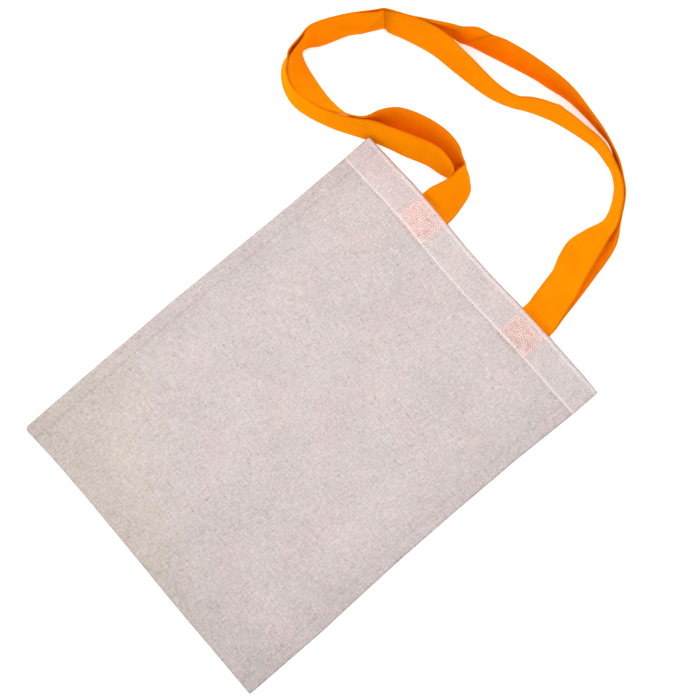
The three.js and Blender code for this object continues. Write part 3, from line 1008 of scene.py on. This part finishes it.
def strap_spans(sections, straps, steps):
    """The low edge, the vector across and the normal of a strap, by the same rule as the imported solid."""
    left, right, lift = np.split(np.array(sections), [2, 4], axis=1)
    low = smooth_run(np.hstack([right, lift]), steps) * MM
    high = smooth_run(np.hstack([left, lift]), steps) * MM
    across = high - low
    across[:, 2] = 0
    plan_width = np.linalg.norm(across, axis=1)
    across *= np.minimum(1, straps.width / plan_width)[:, None]
    plan_width = np.minimum(plan_width, straps.width)
    across[:, 2] = np.sqrt(np.maximum(0, straps.width**2 - plan_width**2))
    travel = np.gradient(low + across / 2, axis=0)
    normal = np.cross(travel, across)
    normal /= np.linalg.norm(normal, axis=1)[:, None]
    low[:, 2] += np.abs(normal[:, 2]) * straps.thick / 2
    return low, across, normal


def strap_outline(straps, cells=12, round_points=5):
    """Closed section of a strap: shares across it and of half its thickness, with rounded edges."""
    edge = straps.thick / 2 / straps.width
    flat = np.linspace(edge, 1 - edge, cells + 1)
    bend = np.linspace(math.pi / 2, -math.pi / 2, round_points + 2)[1:-1]
    across = [*flat, *(1 - edge + edge * np.cos(bend)), *flat[::-1], *(edge - edge * np.cos(bend))]
    height = [*(0 * flat + 1), *np.sin(bend), *(0 * flat - 1), *-np.sin(bend)]
    return np.array([*across, across[0]]), np.array([*height, height[0]])


class Band:
    """Where one strap lies: its low edge, the vector across, the normal and the run along its middle."""

    STEPS = 12

    def __init__(self, sections, creases, straps):
        self.creases = creases
        self.low, self.across, self.normal = strap_spans(sections, straps, self.STEPS)
        lengths = np.linalg.norm(np.diff(self.low + self.across / 2, axis=0), axis=1)
        self.run = np.concatenate([[0], np.cumsum(lengths)])

    def run_at(self, row):
        """Run at a place along the table."""
        return np.interp(row, np.arange(len(self.run)) / self.STEPS, self.run)

    def crease_lines(self, start):
        """Each crease with its place on the cloth map at the right and the left edge."""
        return [
            (start + self.run_at(crease.at_right), start + self.run_at(crease.at_left), crease)
            for crease in self.creases
        ]

    def crease_heights(self, share):
        """How far each point stands out at the creases."""
        heights = 0.0 * share
        for crease in self.creases:
            line = self.run_at(crease.at_right + (crease.at_left - crease.at_right) * share)
            heights += crease.height * np.clip(1 - np.abs(line - self.run[:, None]) / crease.reach, 0, 1)
        return heights


def lay_strap(name, band, start, settings, material):
    """A flat band that keeps its width: where its edges come close in plan it stands up."""
    parts = 4
    flat_until, free_from = 30 * MM, 60 * MM
    lowest = 0.05 * MM
    straps = settings.straps
    run = band.run
    share, height = strap_outline(straps)
    share = np.broadcast_to(share, (len(run), len(share)))
    # The names differ in length, so each strap has waves of its own
    seed = len(name)
    waves = 0.15 * MM * uneven(share * straps.width, run[:, None] + 0 * share, 26 * MM, seed)
    free = smooth(np.minimum(run, run[-1] - run)[:, None], flat_until, free_from)
    bulge = (straps.camber + waves) * free * full_across(share, 2) + band.crease_heights(share)
    offset = height * straps.thick / 2 + bulge
    points = band.low[:, None] + band.across[:, None] * share[..., None]
    points = points + band.normal[:, None] * offset[..., None]
    points[..., 2] = np.maximum(points[..., 2], lowest)
    place = np.stack([share * straps.width, start + run[:, None] + 0 * share], -1)
    round_it = np.linspace(0, 1, share.shape[1])
    cuts = np.linspace(0, len(run) - 1, parts + 1).astype(int)
    cloth = ClothMesh()
    for part, (first, last) in enumerate(zip(cuts[:-1], cuts[1:])):
        rows = slice(first, last + 1)
        along = (run[rows] - run[first]) / (run[last] - run[first])
        bake = on_bake_map(STRAP_PATCH, *np.meshgrid(along, round_it, indexing="ij"))
        bake[..., 1] = (part + bake[..., 1]) / parts
        cloth.add(points[rows], place[rows], bake)
    return cloth.build(name, material)


# Sewing


def stitch_line(pouch, side, start, end, pitch, fill, thread):
    """Stitches along a straight line of the cloth, by its ends along the mouth and from the fold in metres.

    Those under the bag are pressed flat.
    """
    start, end = np.array(start), np.array(end)
    count = max(2, round(float(np.linalg.norm(end - start)) / pitch))
    samples, sides = 7, 8
    sunk, thin_end = 0.4, 0.7
    swing = np.linspace(0, 1, samples)
    share = (np.arange(count)[:, None] + (1 - fill) / 2 + fill * swing) / count
    flat = start + (end - start) * share[..., None]
    along = flat[..., 1]
    surface = pouch.outside(side, pouch.across_at(flat[..., 0], along), along)
    up = 1 if side == "front" else -1
    arch = np.sin(math.pi * swing)
    surface[..., 2] += up * thread / 2 * (arch - sunk)
    direction = surface[:, -1] - surface[:, 0]
    direction /= np.linalg.norm(direction, axis=1)[:, None]
    sideways = np.cross(direction, [0, 0, 1])
    sideways /= np.linalg.norm(sideways, axis=1)[:, None]
    upright = np.cross(sideways, direction)
    angles = np.linspace(0, 2 * math.pi, sides, endpoint=False)
    radius = thread / 2 * (thin_end + (1 - thin_end) * arch)
    ring = np.cos(angles)[:, None] * sideways[:, None, None]
    ring = ring + np.sin(angles)[:, None] * upright[:, None, None]
    tubes = surface[:, :, None] + radius[:, None, None] * ring
    if side == "back":
        tubes[..., 2] = np.maximum(tubes[..., 2], 0)
    return tubes


def sew_stitches(name, tubes, material):
    """One mesh of all the stitches: each tube has rings of points along it and closed ends."""
    points = np.concatenate(tubes)
    count, rings, sides = points.shape[:3]
    faces = []
    for stitch in range(count):
        first = stitch * rings * sides
        for ring in range(rings - 1):
            for k in range(sides):
                a = first + ring * sides + k
                b = first + ring * sides + (k + 1) % sides
                faces.append((a, b, b + sides, a + sides))
        faces.append(tuple(first + k for k in reversed(range(sides))))
        faces.append(tuple(first + (rings - 1) * sides + k for k in range(sides)))
    mesh = bpy.data.meshes.new(name)
    flat_points = points.reshape(-1, 3)
    mesh.from_pydata(flat_points.tolist(), [], faces)
    corners = np.zeros(len(mesh.loops), np.int32)
    mesh.loops.foreach_get("vertex_index", corners)
    layer = mesh.uv_layers.new(name=CLOTH_MAP)
    layer.uv.foreach_set("vector", flat_points[corners, :2].astype(np.float32).ravel())
    close_mesh(mesh)
    return add_piece(name, mesh, material)


def hem_tubes(pouch, side, stitches):
    """The line of stitches that holds the hem."""
    line = pouch.stitch_line
    margin = 2.5 * MM
    start = (MOUTH_LEFT[0] + margin, line)
    end = (MOUTH_RIGHT[0] - margin, line)
    return [stitch_line(pouch, side, start, end, stitches.hem_pitch, HEM_FILL, stitches.hem_thread)]


def double_row(start, end, stitches):
    """Two rows beside a line, the second half a stitch behind the first."""
    start, end = np.array(start), np.array(end)
    run = (end - start) / np.linalg.norm(end - start)
    aside = np.array([-run[1], run[0]]) * stitches.box_rows / 2
    half_stitch = run * stitches.box_pitch / 2
    return [(start + aside, end + aside), (start - aside + half_stitch, end - aside - half_stitch)]


def box_tubes(pouch, side, strap_end, stitches):
    """A box with a cross in it, sewn through a strap end."""
    above_hem_line = 0.3 * MM
    level = pouch.stitch_line + above_hem_line + stitches.box_height / 2
    half_width, half_height = stitches.box_width / 2, stitches.box_height / 2
    corners = []
    for across, up in SQUARE:
        x, y = turned(across * half_width, up * half_height, -strap_end.turn)
        corners.append((strap_end.middle + x, level + y))
    lines = [(corners[k], corners[(k + 1) % 4]) for k in range(4)]
    lines += [(corners[0], corners[2]), (corners[1], corners[3])]
    rows = [row for line in lines for row in double_row(*line, stitches)]
    pitch, thread = stitches.box_pitch, stitches.box_thread
    return [stitch_line(pouch, side, start, end, pitch, BOX_FILL, thread) for start, end in rows]


# Operators


class TOTE_OT_bag(bpy.types.Operator):
    """Sew the body of the bag"""

    bl_idname = "tote.bag"
    bl_label = "Bag cloth"

    def execute(self, context):
        bag = sew_body(context.scene.tote)
        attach(bag, "root")
        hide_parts("bag_body")
        return {"FINISHED"}


class TOTE_OT_stitches(bpy.types.Operator):
    """Sew the hem lines and the crossed boxes at the strap ends"""

    bl_idname = "tote.stitches"
    bl_label = "Stitches"

    def execute(self, context):
        settings = context.scene.tote
        pouch = Pouch(settings)
        hem_thread = sewing_thread("hem_thread", settings.colours.hem_thread)
        box_thread = sewing_thread("box_thread", settings.colours.box_thread)
        bag = bpy.data.objects["bag_cloth"]
        for side in ("front", "back"):
            tubes = hem_tubes(pouch, side, settings.stitches)
            pieces = [sew_stitches(f"{side}_hem_stitches", tubes, hem_thread)]
            for end_name, strap_end in STRAP_ENDS.items():
                tubes = box_tubes(pouch, side, strap_end, settings.stitches)
                pieces.append(sew_stitches(f"{side}_{end_name}_box_stitches", tubes, box_thread))
            for piece in pieces:
                piece.parent = bag
        return {"FINISHED"}


class TOTE_OT_straps(bpy.types.Operator):
    """Lay the two straps"""

    bl_idname = "tote.straps"
    bl_label = "Straps"

    def execute(self, context):
        settings = context.scene.tote
        straps = settings.straps
        front = Band(FRONT_SECTIONS, FRONT_CREASES, straps)
        back = Band(BACK_SECTIONS, BACK_CREASES, straps)
        material = orange_cotton(settings, front.crease_lines(0.0) + back.crease_lines(BACK_STRAP_START))
        for node, band, start in (("front_strap", front, 0.0), ("back_strap", back, BACK_STRAP_START)):
            strap = lay_strap(f"{node}_cloth", band, start, settings, material)
            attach(strap, "root")
            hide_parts(node)
        return {"FINISHED"}


class TOTE_OT_stage(bpy.types.Operator):
    """Set up the floor, the soft light and the camera straight above"""

    bl_idname = "tote.stage"
    bl_label = "Stage"

    def execute(self, context):
        scene = context.scene
        settings = scene.tote
        scene.view_settings.view_transform = "Standard"
        self.make_floor(settings)
        self.make_light(scene, settings.stage)
        self.make_camera(scene, settings.stage)
        return {"FINISHED"}

    def make_floor(self, settings):
        mesh = bpy.data.meshes.new("floor")
        corners = [(x * FLOOR_HALF, y * FLOOR_HALF, 0) for x, y in SQUARE]
        mesh.from_pydata(corners, [], [(0, 1, 2, 3)])
        floor = add_piece("floor", mesh, pale_floor(settings))
        floor.location.z = FLOOR_LEVEL

    def make_light(self, scene, stage):
        world = bpy.data.worlds.new("soft_sky")
        world.use_nodes = True
        sky = world.node_tree.nodes["Background"]
        sky.inputs["Color"].default_value = opaque((1, 1, 1))
        sky.inputs["Strength"].default_value = stage.sky
        scene.world = world
        lamp = bpy.data.lights.new("soft_lamp", "AREA")
        lamp.shape = "DISK"
        lamp.size = LAMP_SIZE
        lamp.energy = stage.key
        key = bpy.data.objects.new("soft_lamp", lamp)
        key.location = LAMP_PLACE
        aim = key.location * -1
        key.rotation_euler = aim.to_track_quat("-Z", "Y").to_euler()
        scene.collection.objects.link(key)

    def make_camera(self, scene, stage):
        camera = bpy.data.cameras.new("camera")
        camera.sensor_width = CAMERA_SENSOR
        camera.lens = camera.sensor_width * stage.camera_height / stage.seen_width
        camera.clip_end = CAMERA_SIGHT
        eye = bpy.data.objects.new("camera", camera)
        eye.location = (*CAMERA_PLACE, stage.camera_height)
        eye.rotation_euler = (0, 0, stage.turn)
        scene.collection.objects.link(eye)
        scene.camera = eye


class TOTE_PT_panel(bpy.types.Panel):
    """Steps and sizes of the tote bag"""

    bl_idname = "TOTE_PT_panel"
    bl_label = "Tote bag"
    bl_space_type = "VIEW_3D"
    bl_region_type = "UI"
    bl_category = "Tote bag"

    def draw(self, context):
        column = self.layout.column()
        for step in STEPS:
            column.operator(step.bl_idname)
        settings = context.scene.tote
        for group in (settings.bag, settings.straps, settings.stitches, settings.colours, settings.stage):
            box = column.box()
            for name in group.bl_rna.properties.keys():
                if name not in ("name", "rna_type"):
                    box.prop(group, name, text=name.replace("_", " ").capitalize())


STEPS = (TOTE_OT_bag, TOTE_OT_stitches, TOTE_OT_straps, TOTE_OT_stage)
GROUPS = (ToteBagSizes, ToteStrapSizes, ToteStitchSizes, ToteColours, ToteStage, ToteSettings)
CLASSES = (*GROUPS, *STEPS, TOTE_PT_panel)


def register():
    for kind in CLASSES:
        bpy.utils.register_class(kind)
    bpy.types.Scene.tote = PointerProperty(type=ToteSettings)


def unregister():
    del bpy.types.Scene.tote
    for kind in reversed(CLASSES):
        bpy.utils.unregister_class(kind)


def main():
    register()
    bpy.ops.tote.bag()
    bpy.ops.tote.stitches()
    bpy.ops.tote.straps()
    bpy.ops.tote.stage()


if __name__ == "__main__":
    main()
